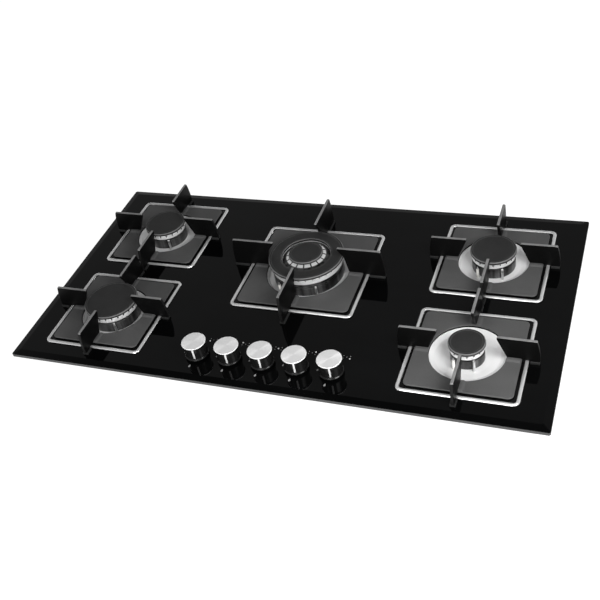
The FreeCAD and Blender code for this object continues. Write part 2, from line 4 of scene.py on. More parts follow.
import bmesh
import bpy
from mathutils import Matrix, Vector


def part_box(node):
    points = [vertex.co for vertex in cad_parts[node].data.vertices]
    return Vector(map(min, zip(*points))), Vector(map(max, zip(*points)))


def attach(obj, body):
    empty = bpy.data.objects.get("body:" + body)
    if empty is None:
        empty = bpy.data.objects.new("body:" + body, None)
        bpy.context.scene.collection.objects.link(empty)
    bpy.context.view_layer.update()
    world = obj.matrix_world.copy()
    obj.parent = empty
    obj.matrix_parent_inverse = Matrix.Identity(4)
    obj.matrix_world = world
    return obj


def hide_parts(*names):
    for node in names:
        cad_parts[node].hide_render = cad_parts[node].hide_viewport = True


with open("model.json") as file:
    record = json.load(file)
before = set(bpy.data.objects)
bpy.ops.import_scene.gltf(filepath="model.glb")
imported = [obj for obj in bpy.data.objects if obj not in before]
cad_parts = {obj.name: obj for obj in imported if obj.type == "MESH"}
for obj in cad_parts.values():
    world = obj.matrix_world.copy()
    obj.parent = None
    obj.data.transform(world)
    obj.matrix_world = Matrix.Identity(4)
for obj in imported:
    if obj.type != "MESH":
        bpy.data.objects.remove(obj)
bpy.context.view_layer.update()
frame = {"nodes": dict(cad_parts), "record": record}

# A built-in gas cooktop.  Metres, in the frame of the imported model: +X to the user's right,
# +Y to the rear, +Z up.  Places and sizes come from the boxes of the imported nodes.

side_burners = ("front_left", "front_right", "rear_left", "rear_right")
supports = side_burners + ("centre",)
knobs = ("far_left", "left", "middle", "right", "far_right")
served = ("front_left", "rear_left", "centre", "rear_right", "front_right")
liftable = ("front_right", "rear_left", "rear_right")
main_body = "cooktop"

mm = 0.001
full_turn = 2 * math.pi
sharp_angle = math.radians(32)

glass_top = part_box("glass_top")[1].z
tray_sheet = 1.0 * mm
bead_width = 6.0 * mm
bead_height = 3.5 * mm
tray_corner = 10.0 * mm
dish_depth = 7.0 * mm
dish_gap = 2.0 * mm
dish_floor_margin = 8.0 * mm
plate_corner = 8.0 * mm
rib_height = 2.0 * mm
rib_half_width = 10.0 * mm
rib_half_crest = 6.0 * mm
keep_straight = 12.0 * mm

# trays and burners
plate_gap = 4.5 * mm
dish_radius = {name: 57.0 * mm for name in side_burners}
dish_radius["centre"] = 73.0 * mm
dish_turn_in = 1.5 * mm
tray_keep_straight = 4.0 * mm
cup_wall = 4.0 * mm
cup_gap = 0.4 * mm
cap_overhang = 2.0 * mm
crown_wall = 6.0 * mm
lug_gap = 0.3 * mm
inner_crown_radius = 28.0 * mm
ring_cap_hole = 42.5 * mm
# Depths of the bright bands at the tops of the centre crowns; below them the crowns are painted dark
# as painted shade and painted reflection.
outer_crown_bright = 12.0 * mm
inner_crown_bright = 2.7 * mm
beyond_any_part = 1.0
ceramic_height = 11.0 * mm

# knobs and the print round them
disc_radius = 20.0 * mm
disc_thickness = 2.0 * mm
pointer_half_width = 1.45 * mm
pointer_depth = 1.4 * mm
pointer_reach = 18.95 * mm
pointer_angle = math.radians(-74)
mark_height = 0.06 * mm
small_flame = (-24.0 * mm, 2.0 * mm, 3.0 * mm)
large_flame = (-3.0 * mm, -26.5 * mm, 4.0 * mm)
dot_map_centre = (13.5 * mm, 36.0 * mm)
dot_map_step = (5.5 * mm, 2.6 * mm)
dot_radius = 0.7 * mm
chosen_dot_radius = 1.25 * mm


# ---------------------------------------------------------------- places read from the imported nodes
def middle(node):
    """The middle of a node's box."""
    low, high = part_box(node)
    return (low + high) / 2


def half_width(node):
    """Half of a node's extent along X."""
    low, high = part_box(node)
    return (high.x - low.x) / 2


def burner_axis(name):
    """Where a burner stands."""
    return middle("support_plate_" + name)


def crown_radius(name):
    """The radius of a burner's crown, from its cap's size."""
    if name == "centre":
        return half_width("centre_outer_crown")
    return half_width("burner_cap_" + name) - cap_overhang


# ---------------------------------------------------------------- mesh helpers
def new_object(name, mesh):
    """Link a mesh as an object, shaded smooth but for its sharp edges."""
    for polygon in mesh.polygons:
        polygon.use_smooth = True
    mesh.set_sharp_from_angle(angle=sharp_angle)
    obj = bpy.data.objects.new(name, mesh)
    bpy.context.scene.collection.objects.link(obj)
    return obj


def from_bmesh(name, work):
    """Finish a bmesh as an object."""
    bmesh.ops.recalc_face_normals(work, faces=work.faces)
    mesh = bpy.data.meshes.new(name)
    work.to_mesh(mesh)
    work.free()
    if "custom_normal" in mesh.attributes:
        mesh.attributes.remove(mesh.attributes["custom_normal"])
    return new_object(name, mesh)


def add_rings(work, rings, closed):
    """Faces through rings of equally many points; a ring of one point closes an end."""
    made = [[work.verts.new(p) for p in ring] for ring in rings]
    pairs = list(zip(made, made[1:]))
    if closed:
        pairs.append((made[-1], made[0]))
    for a, b in pairs:
        count = max(len(a), len(b))
        for i in range(count):
            j = (i + 1) % count
            corners = [a[i % len(a)], a[j % len(a)], b[j % len(b)], b[i % len(b)]]
            unique = []
            for v in corners:
                if v not in unique:
                    unique.append(v)
            if len(unique) > 2:
                work.faces.new(unique)


def circle_ring(place, radius, height, count):
    """Points on a level circle, or one point where the radius is nothing."""
    if radius < 1e-7:
        return [Vector((place.x, place.y, height))]
    turns = [full_turn * i / count for i in range(count)]
    return [
        Vector((place.x + radius * math.cos(t), place.y + radius * math.sin(t), height)) for t in turns
    ]


def add_lathe(work, outline, place, count=128, closed=False):
    """Turn an outline of (radius, height) points about an upright axis."""
    add_rings(work, [circle_ring(place, r, z, count) for r, z in outline], closed)


def soften(points, radius, closed=False, steps=4):
    """The outline with each of its corners rounded."""
    points = [Vector(p) for p in points]
    count = len(points)
    rounded = []
    for i, here in enumerate(points):
        if not closed and i in (0, count - 1):
            rounded.append(here)
            continue
        before, after = points[i - 1], points[(i + 1) % count]
        reach = min(radius, (before - here).length * 0.45, (after - here).length * 0.45)
        a = here + (before - here).normalized() * reach
        b = here + (after - here).normalized() * reach
        for k in range(steps + 1):
            t = k / steps
            rounded.append(a * (1 - t) ** 2 + here * 2 * t * (1 - t) + b * t**2)
    return [tuple(p) for p in rounded]


def add_box(work, low, high):
    """A box between two corners, returned as its vertices."""
    made = bmesh.ops.create_cube(work, size=1.0)["verts"]
    size = Vector(high) - Vector(low)
    for v in made:
        v.co = Vector(low) + Vector((v.co.x + 0.5, v.co.y + 0.5, v.co.z + 0.5)) * size
    return made


def turn_about(vertices, place, turn):
    """Turn vertices about the upright axis, then carry them to a place in plan."""
    for v in vertices:
        x, y = v.co.x, v.co.y
        v.co.x = place.x + x * math.cos(turn) - y * math.sin(turn)
        v.co.y = place.y + x * math.sin(turn) + y * math.cos(turn)


def bevel_sharp(work, width, steps):
    """Round off every edge that is sharper than the limit."""
    sharp = [e for e in work.edges if e.is_manifold and e.calc_face_angle(0.0) > sharp_angle]
    bmesh.ops.bevel(
        work, geom=sharp, offset=width, segments=steps, profile=0.5, affect="EDGES", clamp_overlap=True
    )


def dressed(node, name, width, steps=3):
    """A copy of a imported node's solids with the sharp edges rounded off."""
    work = bmesh.new()
    work.from_mesh(frame["nodes"][node].data)
    bmesh.ops.remove_doubles(work, verts=work.verts, dist=1e-6)
    bmesh.ops.dissolve_limit(
        work, angle_limit=math.radians(0.4), verts=work.verts, edges=work.edges, delimit=set()
    )
    bevel_sharp(work, width, steps)
    return from_bmesh(name, work)


# ---------------------------------------------------------------- material helpers
class Look:
    """A node material with one principled shader, and short ways to add procedural detail to it."""

    def __init__(self, name, metallic=0.0, roughness=0.4):
        self.material = bpy.data.materials.new(name)
        self.material.use_nodes = True
        self.tree = self.material.node_tree
        self.shader = self.tree.nodes["Principled BSDF"]
        self.shader.inputs["Metallic"].default_value = metallic
        self.shader.inputs["Roughness"].default_value = roughness
        self.place = self.node("ShaderNodeTexCoord").outputs["Object"]

    def node(self, kind, **settings):
        made = self.tree.nodes.new(kind)
        for key, value in settings.items():
            setattr(made, key, value)
        return made

    def link(self, a, b):
        self.tree.links.new(a, b)

    def noise(self, scale, detail=4.0, stretch=(1, 1, 1), roughness=0.55):
        """Noise in the object's own space, from 0 to 1."""
        mapping = self.node("ShaderNodeMapping")
        mapping.inputs["Scale"].default_value = stretch
        self.link(self.place, mapping.inputs["Vector"])
        made = self.node("ShaderNodeTexNoise")
        made.inputs["Scale"].default_value = scale
        made.inputs["Detail"].default_value = detail
        made.inputs["Roughness"].default_value = roughness
        self.link(mapping.outputs["Vector"], made.inputs["Vector"])
        return made.outputs["Fac"]

    def spread(self, value, low, high, start=0.0, end=1.0):
        """A value stretched from start..end to low..high."""
        made = self.node("ShaderNodeMapRange")
        made.inputs["From Min"].default_value = start
        made.inputs["From Max"].default_value = end
        made.inputs["To Min"].default_value = low
        made.inputs["To Max"].default_value = high
        self.link(value, made.inputs["Value"])
        return made.outputs["Result"]

    def mix(self, value, a, b):
        """A colour between a and b; each is a colour or a socket."""
        made = self.node("ShaderNodeMix", data_type="RGBA")
        self.link(value, made.inputs[0])
        for socket, colour in ((made.inputs[6], a), (made.inputs[7], b)):
            if isinstance(colour, (tuple, list)):
                socket.default_value = (*colour, 1.0)
            else:
                self.link(colour, socket)
        return made.outputs[2]

    def colour(self, value):
        if isinstance(value, (tuple, list)):
            self.shader.inputs["Base Color"].default_value = (*value, 1.0)
        else:
            self.link(value, self.shader.inputs["Base Color"])

    def rough(self, value):
        self.link(value, self.shader.inputs["Roughness"])

    def bump(self, value, distance, strength=1.0):
        made = self.node("ShaderNodeBump")
        made.inputs["Strength"].default_value = strength
        made.inputs["Distance"].default_value = distance
        self.link(value, made.inputs["Height"])
        self.link(made.outputs["Normal"], self.shader.inputs["Normal"])

    def upward(self):
        """How far the surface faces up, from -1 to 1."""
        made = self.node("ShaderNodeSeparateXYZ")
        self.link(self.node("ShaderNodeNewGeometry").outputs["Normal"], made.inputs["Vector"])
        return made.outputs["Z"]


def grey(level, tint=0.0):
    """A neutral colour, a touch cooler with tint."""
    return (level * (1 - tint), level, level * (1 + tint))


def speckled(name, dark, light, roughness, metallic=0.0, grain=900.0, bump=0.00004, spread=0.06):
    """A plain surface with fine grain, slow variation and uneven gloss."""
    look = Look(name, metallic, roughness)
    slow = look.noise(14.0, 3.0)
    fine = look.noise(grain, 2.0)
    look.colour(look.mix(look.spread(slow, 0, 1, 0.3, 0.7), dark, light))
    look.rough(look.spread(slow, roughness - spread, roughness + spread, 0.3, 0.7))
    look.bump(fine, bump, 0.6)
    return look


# ---------------------------------------------------------------- materials
def glass_look():
    """Black glass: mirror-smooth top with faint smears, and a ground pale edge."""
    look = Look("black_glass", 0.0, 0.03)
    look.shader.inputs["Specular IOR Level"].default_value = 0.15
    side = look.node("ShaderNodeMath", operation="ABSOLUTE")
    look.link(look.upward(), side.inputs[0])
    edge = look.spread(side.outputs[0], 1.0, 0.0, 0.15, 0.5)
    smear = look.noise(6.0, 5.0, (1.0, 2.5, 1.0))
    top = look.mix(look.spread(smear, 0, 1, 0.35, 0.75), grey(0.0012, 0.04), grey(0.0022, 0.05))
    ground = look.mix(look.noise(400.0), grey(0.06), grey(0.09))
    look.colour(look.mix(edge, top, ground))
    gloss = look.spread(smear, 0.02, 0.07, 0.35, 0.8)
    rougher = look.node("ShaderNodeMix", data_type="FLOAT")
    look.link(edge, rougher.inputs[0])
    look.link(gloss, rougher.inputs[2])
    rougher.inputs[3].default_value = 0.4
    look.rough(rougher.outputs[0])
    return look


def polished_look():
    """Polished pressed steel: a bright bead round a flat painted near-black as painted shade and
    painted reflection of the plate's edge.
    """
    look = Look("polished_steel", 0.7, 0.2)
    slow = look.noise(30.0, 2.0)
    split = look.node("ShaderNodeSeparateXYZ")
    look.link(look.place, split.inputs["Vector"])
    flat = glass_top + tray_sheet
    # Painted shade: the flat at tray height is coloured near-black for the plate edge's shade and dark
    # reflection; the raised bead keeps the steel colour.
    unshaded_bead_part = look.spread(split.outputs["Z"], 0.0, 1.0, flat + 0.15 * mm, flat + 0.5 * mm)
    look.colour(look.mix(unshaded_bead_part, grey(0.01), look.mix(slow, grey(0.86), grey(0.94))))
    look.rough(look.spread(slow, 0.18, 0.24, 0.3, 0.7))
    return look


def bowl_look():
    """The round dish of a tray: satin bright steel."""
    look = Look("bowl_steel", 0.2, 0.2)
    slow = look.noise(30.0, 2.0)
    look.colour(look.mix(slow, grey(0.92), grey(0.98)))
    look.rough(look.spread(slow, 0.14, 0.22, 0.3, 0.7))
    look.bump(slow, 0.0001, 0.15)
    return look


def plate_look():
    """Satin grey enamel with a fine texture."""
    look = Look("grey_plate", 0.0, 0.42)
    look.shader.inputs["Specular IOR Level"].default_value = 0.2
    fine = look.noise(1500.0, 3.0)
    slow = look.noise(18.0, 3.0)
    base = look.mix(look.spread(slow, 0, 1, 0.3, 0.7), grey(0.076), grey(0.09))
    look.colour(look.mix(look.spread(fine, 0, 0.35, 0.45, 0.7), base, grey(0.12)))
    look.rough(look.spread(fine, 0.36, 0.5, 0.3, 0.7))
    look.bump(fine, 0.00006, 0.5)
    return look


def blade_look():
    """Satin black enamel on the flat faces of the blades."""
    look = Look("black_blades", 0.0, 0.38)
    fine = look.noise(1400.0, 3.0)
    slow = look.noise(25.0, 3.0)
    look.colour(look.mix(slow, grey(0.002), grey(0.004)))
    look.rough(look.spread(fine, 0.32, 0.46, 0.3, 0.7))
    look.bump(fine, 0.00005, 0.5)
    look.shader.inputs["Specular IOR Level"].default_value = 0.05
    return look


def painted_light_on_blade_end_faces():
    """The upright ends of the blades: the same enamel, painted lighter as painted light where they
    catch more light.
    """
    look = Look("blade_ends_painted_light", 0.0, 0.4)
    fine = look.noise(1200.0, 3.0)
    look.colour(look.mix(fine, grey(0.007), grey(0.013)))
    look.rough(look.spread(fine, 0.34, 0.48, 0.3, 0.7))
    look.bump(fine, 0.00005, 0.5)
    look.shader.inputs["Specular IOR Level"].default_value = 0.12
    return look


def painted_highlight_blade_tops():
    """The top faces of the blades, coloured pale grey as a painted highlight where light falls on
    them.
    """
    look = Look("blade_tops_painted_highlight", 0.35, 0.36)
    fine = look.noise(500.0, 4.0, (1.0, 1.0, 0.3))
    slow = look.noise(40.0, 3.0)
    look.colour(look.mix(look.spread(slow, 0, 1, 0.3, 0.7), grey(0.2), grey(0.32)))
    look.rough(look.spread(fine, 0.3, 0.45, 0.3, 0.7))
    look.bump(fine, 0.00005, 0.4)
    return look


def cap_look():
    """Matt dark enamel of the burner caps, with a painted highlight: pale grey on the rounded
    shoulders.
    """
    look = Look("cap_enamel", 0.0, 0.5)
    fine = look.noise(1300.0, 3.0)
    slow = look.noise(35.0, 4.0)
    base = look.mix(look.spread(slow, 0, 1, 0.3, 0.7), grey(0.018), grey(0.026))
    grain = look.mix(look.spread(fine, 0, 0.5, 0.5, 0.75), base, grey(0.05))
    up = look.upward()
    # Painted highlight: faces tilted partly upward, the rounded shoulders, are coloured pale grey.
    shoulder = look.node("ShaderNodeMath", operation="MULTIPLY")
    look.link(look.spread(up, 0.0, 1.0, 0.2, 0.5), shoulder.inputs[0])
    look.link(look.spread(up, 1.0, 0.0, 0.8, 0.97), shoulder.inputs[1])
    look.colour(look.mix(shoulder.outputs[0], grain, grey(0.14)))
    look.shader.inputs["Specular IOR Level"].default_value = 0.2
    look.rough(look.spread(slow, 0.42, 0.56, 0.3, 0.7))
    look.bump(fine, 0.00008, 0.5)
    return look


def crown_look(name, painted_shade_below):
    """Machined bright aluminium above a height; below it painted near-black with vertical streaks as
    painted shade and painted reflection.
    """
    look = Look(name, 0.5, 0.3)
    lines = look.noise(260.0, 3.0, (0.15, 0.15, 6.0))
    reflection_streaks = look.noise(90.0, 3.0, (1.0, 1.0, 0.05))
    slow = look.noise(60.0, 3.0)
    split = look.node("ShaderNodeSeparateXYZ")
    look.link(look.place, split.inputs["Vector"])
    # Painted shade and painted reflection: under the given height the colour is near-black with
    # vertical streaks, for the shade under the cap and the dark mirrored body.
    height = look.spread(split.outputs["Z"], 0.0, 1.0, painted_shade_below - 0.3 * mm, painted_shade_below + 0.3 * mm)
    dark = look.mix(look.spread(reflection_streaks, 0, 1, 0.4, 0.62), grey(0.008), grey(0.08))
    look.colour(look.mix(height, dark, look.mix(slow, grey(0.88), grey(0.97))))
    look.rough(look.spread(lines, 0.26, 0.4, 0.3, 0.7))
    look.bump(lines, 0.00006, 0.4)
    return look


def spun_look():
    """Spun aluminium: fine rings about each disc's axis, and the fan of light they make."""
    look = Look("spun_aluminium", 0.5, 0.4)
    look.shader.inputs["Anisotropic"].default_value = 0.8
    around = look.node("ShaderNodeTangent", direction_type="RADIAL", axis="Z")
    look.link(around.outputs["Tangent"], look.shader.inputs["Tangent"])
    across = look.node("ShaderNodeAttribute", attribute_name="ring")
    rings = look.node("ShaderNodeTexNoise", noise_dimensions="1D")
    rings.inputs["Scale"].default_value = 2600.0
    rings.inputs["Detail"].default_value = 3.0
    look.link(across.outputs["Fac"], rings.inputs["W"])
    look.colour(look.mix(look.spread(rings.outputs["Fac"], 0, 1, 0.35, 0.65), grey(0.92), grey(0.99)))
    look.rough(look.spread(rings.outputs["Fac"], 0.4, 0.52, 0.3, 0.7))
    look.bump(rings.outputs["Fac"], 0.00003, 0.5)
    return look


def knob_look():
    """Glossy black moulded plastic."""
    look = Look("knob_plastic", 0.0, 0.16)
    look.shader.inputs["Specular IOR Level"].default_value = 0.3
    fine = look.noise(900.0, 2.0)
    slow = look.noise(50.0, 2.0)
    look.colour(look.mix(slow, grey(0.006), grey(0.010)))
    look.rough(look.spread(slow, 0.12, 0.22, 0.3, 0.7))
    look.bump(fine, 0.00001, 0.4)
    return look


looks = {
    "black_glass": glass_look(),
    "polished_steel": polished_look(),
    "grey_plate": plate_look(),
    "black_blades": blade_look(),
    "cap_enamel": cap_look(),
    "crown_aluminium": crown_look("crown_aluminium", -beyond_any_part),
    "spun_aluminium": spun_look(),
    "knob_plastic": knob_look(),
    "zinced_steel": speckled("zinced_steel", grey(0.34), grey(0.46), 0.38, 1.0, 120.0, 0.00005),
    "foam_rubber": speckled("foam_rubber", grey(0.02), grey(0.045), 0.85, 0.0, 700.0, 0.0003),
    # Painted shade and painted reflection on the whole part: the shade line sits above everything, so
    # the burner bases are near-black with streaks.
    "cast_aluminium": crown_look("cast_aluminium", beyond_any_part),
    "jet_brass": speckled("jet_brass", (0.62, 0.44, 0.16), (0.76, 0.57, 0.24), 0.25, 1.0),
    "white_ceramic": speckled("white_ceramic", (0.78, 0.77, 0.73), (0.88, 0.87, 0.84), 0.2),
    "probe_steel": speckled("probe_steel", grey(0.55), grey(0.7), 0.3, 1.0),
    "pointer_aluminium": speckled("pointer_aluminium", grey(0.72), grey(0.85), 0.5, 0.25),
    "black_plastic": speckled("black_plastic", grey(0.015), grey(0.03), 0.5),
    "pipe_aluminium": speckled("pipe_aluminium", grey(0.6), grey(0.75), 0.35, 1.0),
    "white_plastic": speckled("white_plastic", grey(0.75), grey(0.85), 0.45),
    "black_rubber": speckled("black_rubber", grey(0.006), grey(0.012), 0.6, 0.0, 900.0, 0.0001),
}
blade_top_highlight = painted_highlight_blade_tops()
blade_end_painted_light = painted_light_on_blade_end_faces()
dish_look = bowl_look()
port_painted_shade = speckled("crown_ports_painted_shade", grey(0.008), grey(0.02), 0.6)


def place_piece(obj, body, slot, *nodes):
    """Give a piece its body, its finish and the nodes that it stands for."""
    if not obj.data.materials:
        obj.data.materials.append(looks[slot].material)
    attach(obj, body)
    if nodes:
        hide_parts(*nodes)
    return obj


# ---------------------------------------------------------------- nodes that stay: their materials
slot_of = {row["node"]: row["material_slot"] for row in frame["record"]["subparts"]}
for node, obj in frame["nodes"].items():
    obj.data.materials.clear()
    obj.data.materials.append(looks[slot_of[node]].material)


# ---------------------------------------------------------------- rings between a square and a circle
straight_steps = 10
bent_steps = 22


def whole_ring(eighth):
    """A closed ring from the points of its first eighth, which runs from +X to the corner."""
    side = [(x, -y) for x, y in reversed(eighth[1:])] + eighth[:-1]
    ring = []
    for turn in range(4):
        c, s = (1, 0, -1, 0)[turn], (0, 1, 0, -1)[turn]
        ring += [(x * c - y * s, x * s + y * c) for x, y in side]
    return ring


def square_ring(half, corner, keep):
    """A rounded square.  Its points near the axes keep their distance from them."""
    eighth = [(half, keep * i / straight_steps) for i in range(straight_steps)]
    run = half - corner - keep
    length = run + corner * math.pi / 4
    for i in range(bent_steps + 1):
        s = length * i / bent_steps
        if s <= run:
            eighth.append((half, keep + s))
        else:
            t = (s - run) / corner
            c = half - corner
            eighth.append((c + corner * math.cos(t), c + corner * math.sin(t)))
    return whole_ring(eighth)


def round_ring(radius, keep):
    """A circle with points that match those of square_ring."""
    eighth = []
    for i in range(straight_steps):
        y = keep * i / straight_steps
        eighth.append((math.sqrt(radius**2 - y**2), y))
    start = math.asin(keep / radius)
    for i in range(bent_steps + 1):
        t = start + (math.pi / 4 - start) * i / bent_steps
        eighth.append((radius * math.cos(t), radius * math.sin(t)))
    return whole_ring(eighth)


def between(a, b, share):
    """A ring part of the way from one ring to another."""
    return [(p[0] + (q[0] - p[0]) * share, p[1] + (q[1] - p[1]) * share) for p, q in zip(a, b)]


def raised(ring, place, height):
    """A ring put in place, at a height or at what a function of its points gives."""
    if callable(height):
        return [Vector((place.x + x, place.y + y, height(x, y))) for x, y in ring]
    return [Vector((place.x + x, place.y + y, height)) for x, y in ring]


# ---------------------------------------------------------------- drip trays
def add_tray(work, name):
    """One tray: a rounded bead, a flat, and a smooth bowl down to the burner."""
    place = burner_axis(name)
    plate_low, plate_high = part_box("support_plate_" + name)
    half = (plate_high.x - plate_low.x) / 2 + bead_width + plate_gap
    lip = dish_radius[name]
    bore = crown_radius(name) - cup_wall + cup_gap
    keep = tray_keep_straight
    floor = glass_top + tray_sheet
    rings = []
    for i in range(13):
        t = math.pi * i / 12
        inset = bead_width * (1 - math.cos(t)) / 2
        foot = glass_top if t < math.pi / 2 else floor
        z = foot + (glass_top + bead_height - foot) * math.sin(t)
        ring = square_ring(half - inset, max(tray_corner - inset, 2.0 * mm), keep)
        rings.append(raised(ring, place, z))
    rings.append(raised(round_ring(lip + dish_turn_in, keep), place, floor))
    low = floor - dish_depth
    settle = crown_radius(name) + dish_floor_margin
    for i in range(15):
        t = i / 14
        r = lip + 0.5 * mm + (settle - lip) * t
        z = floor - (floor - low) * (1 - (1 - t) ** 1.5)
        rings.append(raised(round_ring(r, keep), place, z))
    rings.append(raised(round_ring(bore, keep), place, low))
    under = low - tray_sheet * 0.8
    rings.append(raised(round_ring(bore, keep), place, under))
    rings.append(raised(round_ring(settle, keep), place, under))
    rings.append(raised(round_ring(lip + 0.6 * mm, keep), place, glass_top + 0.1 * mm))
    rings.append(raised(square_ring(half - 1.0 * mm, tray_corner - 1.0 * mm, keep), place, glass_top))
    add_rings(work, rings, True)


def drip_trays():
    """The five trays in one piece: polished beads, flats painted near-black as painted shade, satin
    bowls.
    """
    work = bmesh.new()
    for name in supports:
        add_tray(work, name)
    trays = from_bmesh("drip_tray_set", work)
    trays.data.materials.append(looks["polished_steel"].material)
    trays.data.materials.append(dish_look.material)
    dishes = [(burner_axis(name), dish_radius[name] + dish_turn_in + 0.1 * mm) for name in supports]
    for polygon in trays.data.polygons:
        if any((polygon.center - axis).to_2d().length < reach for axis, reach in dishes):
            polygon.material_index = 1
    place_piece(trays, main_body, "polished_steel", "drip_trays")


# ---------------------------------------------------------------- pan supports
def smooth_step(value):
    """0 below 0, 1 above 1, and a smooth rise between them."""
    t = min(max(value, 0.0), 1.0)
    return t * t * (3 - 2 * t)


def support_plate(name):
    """The pressed plate: rounded edges and four raised strips under the blades."""
    node = "support_plate_" + name
    low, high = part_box(node)
    place = (low + high) / 2
    half = (high.x - low.x) / 2
    hole = dish_radius[name] + dish_gap
    bottom, flat = low.z, high.z - rib_height

    def surface(x, y, drop=0.0):
        along, across = max(abs(x), abs(y)), min(abs(x), abs(y))
        slope = smooth_step((rib_half_width - across) / (rib_half_width - rib_half_crest))
        end = smooth_step((half - 0.6 * mm - along) / (2.2 * mm))
        return flat + rib_height * slope * end - drop

    def at(drop):
        return lambda x, y: surface(x, y, drop)

    square = square_ring(half, plate_corner, keep_straight)
    circle = round_ring(hole, keep_straight)
    rings = [raised(circle, place, bottom), raised(circle, place, at(1.0 * mm))]
    edge = 1.0 * mm
    for i in range(1, 5):
        t = i / 4 * math.pi / 2
        ring = round_ring(hole + edge * (1 - math.cos(t)), keep_straight)
        rings.append(raised(ring, place, at(edge * (1 - math.sin(t)))))
    inner = round_ring(hole + edge, keep_straight)
    outer = square_ring(half - edge, plate_corner - edge, keep_straight)
    for i in range(1, 13):
        rings.append(raised(between(inner, outer, i / 12), place, at(0.0)))
    for i in range(1, 5):
        t = i / 4 * math.pi / 2
        inset = edge * (1 - math.sin(t))
        ring = square_ring(half - inset, plate_corner - inset, keep_straight)
        rings.append(raised(ring, place, at(edge * (1 - math.cos(t)))))
    rings.append(raised(square, place, bottom))
    work = bmesh.new()
    add_rings(work, rings, True)
    piece = from_bmesh("plate_" + name, work)
    return place_piece(piece, "pan_support_" + name, "grey_plate", node)


def support_blades(name):
    """The four blades, edges rounded, with a painted highlight on the top faces and painted light on
    the upright ends.
    """
    node = "support_blades_" + name
    piece = dressed(node, "blades_" + name, 1.3 * mm, 4)
    place = burner_axis(name)
    piece.data.materials.append(looks["black_blades"].material)
    piece.data.materials.append(blade_top_highlight.material)
    piece.data.materials.append(blade_end_painted_light.material)
    for polygon in piece.data.polygons:
        away = polygon.center - place
        along_x = abs(away.x) > abs(away.y)
        sideways = abs(polygon.normal.y) if along_x else abs(polygon.normal.x)
        # Side faces and undersides keep the black enamel; faces turned up get the painted highlight,
        # and the upright ends get the lighter painted-light copy.
        if sideways > 0.8 or polygon.normal.z < -0.3:
            polygon.material_index = 0
        elif polygon.normal.z > 0.3:
            polygon.material_index = 1
        else:
            polygon.material_index = 2
    return place_piece(piece, "pan_support_" + name, "black_blades", node)


def support_feet(name):
    """The rubber shoes."""
    node = "support_feet_" + name
    piece = dressed(node, "shoes_" + name, 0.5 * mm)
    return place_piece(piece, "pan_support_" + name, "black_rubber", node)


# ---------------------------------------------------------------- burners
def cap_outline(radius, bottom, top, hole=0.0):
    """A cap's section: rounded shoulder, a fine line near the rim and a slightly hollow top."""
    line = radius - 4.0 * mm
    outline = [
        (hole, bottom + 0.5 * mm),
        (radius - 3.0 * mm, bottom),
        (radius, bottom + 0.4 * mm),
        (radius, top - 1.6 * mm),
        (radius - 1.6 * mm, top),
        (line, top),
        (line - 0.5 * mm, top - 0.35 * mm),
        (line - 1.0 * mm, top - 0.1 * mm),
    ]
    if hole:
        return outline + [
            (hole + 3.4 * mm, top - 0.1 * mm),
            (hole + 3.0 * mm, top - 0.35 * mm),
            (hole + 2.4 * mm, top),
            (hole + 1.0 * mm, top),
            (hole, top - 1.0 * mm),
        ]
    return outline + [(radius * 0.5, top - 0.35 * mm), (0.0, top - 0.45 * mm)]


def burner_cap(node, body, name, crown_size, hole=0.0):
    """A cap with its three lugs, which stand inside the crown."""
    low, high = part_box(node)
    place = (low + high) / 2
    radius = half_width(node)
    lug = 2.0 * mm
    bottom = low.z + lug
    work = bmesh.new()
    outline = cap_outline(radius, bottom, high.z, hole)
    add_lathe(work, soften(outline, 0.5 * mm, bool(hole)), place, 144, bool(hole))
    reach = crown_size - crown_wall - lug_gap
    for i in range(3):
        made = add_box(work, (reach - lug, -lug * 1.5, low.z), (reach, lug * 1.5, bottom + 0.6 * mm))
        turn_about(made, place, full_turn * i / 3)
    return place_piece(from_bmesh(name, work), body, "cap_enamel", node)


def crown(node, name, width, bright_part):
    """A crown, bright to a depth below its top and painted dark below it as painted shade, with
    painted shade on the walls of its flame ports.
    """
    piece = dressed(node, name, width, 2)
    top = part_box(node)[1].z
    piece.data.materials.append(crown_look(name + "_aluminium", top - bright_part).material)
    piece.data.materials.append(port_painted_shade.material)
    axes = [burner_axis(burner) for burner in supports]
    for polygon in piece.data.polygons:
        out = min(((polygon.center - axis).to_2d() for axis in axes), key=lambda v: v.length)
        across = abs(polygon.normal.to_2d().dot(out.normalized()))
        # Painted shade: the upright side walls of the flame ports are coloured near-black, so the
        # slots read as dark gaps.
        if abs(polygon.normal.z) < 0.5 and across < 0.6:
            polygon.material_index = 1
    place_piece(piece, main_body, "crown_aluminium", node)


def burners():
    """Crowns, bases and caps of the five burners."""
    crown("side_burner_crowns", "crowns", 0.25 * mm, beyond_any_part)
    crown("centre_outer_crown", "outer_crown", 0.3 * mm, outer_crown_bright)
    crown("centre_inner_crown", "inner_crown", 0.3 * mm, inner_crown_bright)
    bases = dressed("burner_bases", "bases", 0.5 * mm, 3)
    place_piece(bases, main_body, "cast_aluminium", "burner_bases")
    for name in side_burners:
        body = name + "_cap_body" if name in liftable else main_body
        burner_cap("burner_cap_" + name, body, "cap_" + name, crown_radius(name))
    burner_cap("centre_ring_cap", main_body, "ring_cap", crown_radius("centre"), ring_cap_hole)
    burner_cap("centre_inner_cap", "centre_inner_cap_body", "inner_cap", inner_crown_radius)


